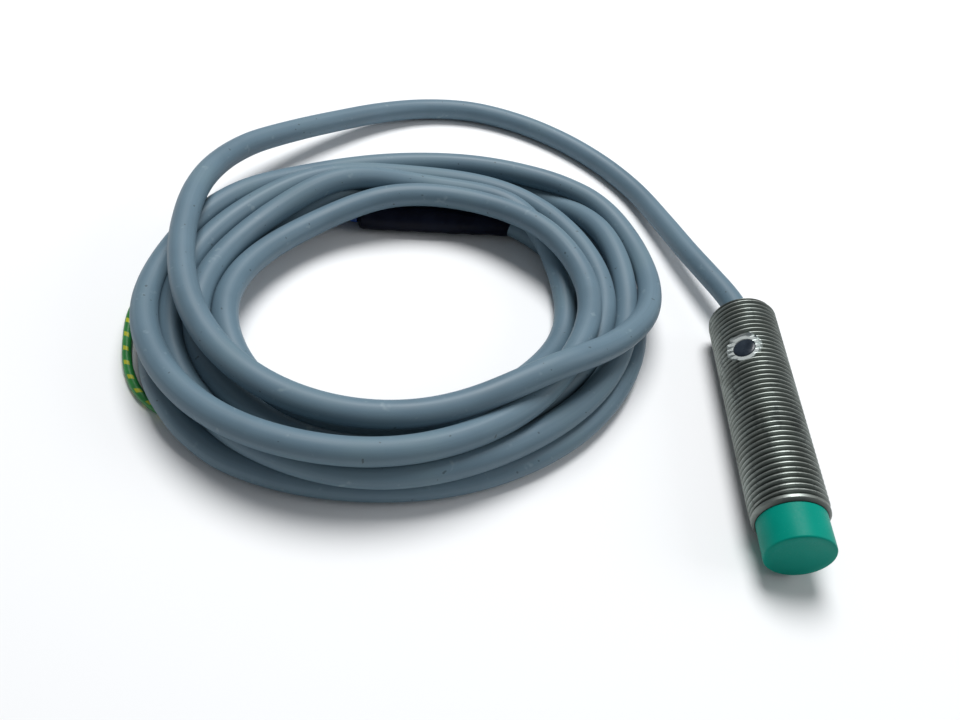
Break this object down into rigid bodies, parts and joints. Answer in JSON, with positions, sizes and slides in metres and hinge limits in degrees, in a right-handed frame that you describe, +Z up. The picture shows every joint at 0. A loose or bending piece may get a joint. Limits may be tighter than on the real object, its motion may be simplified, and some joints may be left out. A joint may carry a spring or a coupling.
{
  "type": "proximity sensor",
  "caption": "Cylindrical inductive proximity sensor: threaded metal barrel, protruding green sensing cap, indicator window and a fixed cable wound in a coil with bare cores.",
  "frame": {"origin": "on the surface that the sensor lies on, under the middle of the 50 mm long sensor", "axes": "+Y along the barrel from the sensing face to the cable, +Z up, sensing face towards -Y"},
  "size_m": [0.112, 0.1145, 0.0144],
  "materials": {
    "nickel": "satin nickel plate over brass, grey-green tone",
    "cap_plastic": "moulded polyester, fine matt",
    "ferrite": "sintered, dull",
    "nylon": "natural moulded",
    "copper": "enamelled wire, glossy",
    "board": "solder mask, semi-gloss",
    "chip": "moulded epoxy, matt",
    "ceramic": "sintered ceramic, matt",
    "led": "white package",
    "clear": "clear",
    "lens": "smoked, glossy, slightly domed",
    "brass": "bare",
    "resin": "cast epoxy",
    "bushing": "moulded, matt",
    "jacket": "flexible PVC, matt, blue-grey",
    "sleeve": "shrink tube, satin black",
    "core_brown": "PVC insulation",
    "core_blue": "PVC insulation",
    "core_earth": "PVC insulation, green with yellow marks",
    "tinned": "tinned copper tube"
  },
  "bodies": {
    "root": {"threaded_barrel": "nickel", "sensing_cap": "cap_plastic", "ferrite_core": "ferrite", "coil_bobbin": "nylon", "coil_winding": "copper", "core_carrier": "nylon", "circuit_board": "board", "oscillator_chip": "chip", "bridge_rectifier": "chip", "output_thyristor": "chip", "indicator_led": "led", "smoothing_capacitor": "ceramic", "zener_diode": "chip", "trim_resistor": "ceramic", "capacitor_1": "ceramic", "capacitor_2": "ceramic", "resistor_1": "chip", "resistor_2": "chip", "resistor_3": "chip", "resistor_4": "chip", "light_guide": "clear", "indicator_lens": "lens", "core_brown_inner": "core_brown", "core_blue_inner": "core_blue", "core_earth_inner": "core_earth", "earth_ring": "brass", "cable_clamp": "brass", "rear_seal": "resin", "rear_bushing": "bushing", "cable_lead": "jacket", "cable_coil": "jacket", "end_sleeve": "sleeve", "core_earth": "core_earth", "core_brown": "core_brown", "core_blue": "core_blue", "ferrule_earth": "tinned", "ferrule_brown": "tinned", "ferrule_blue": "tinned"}
  },
  "joints": []
}
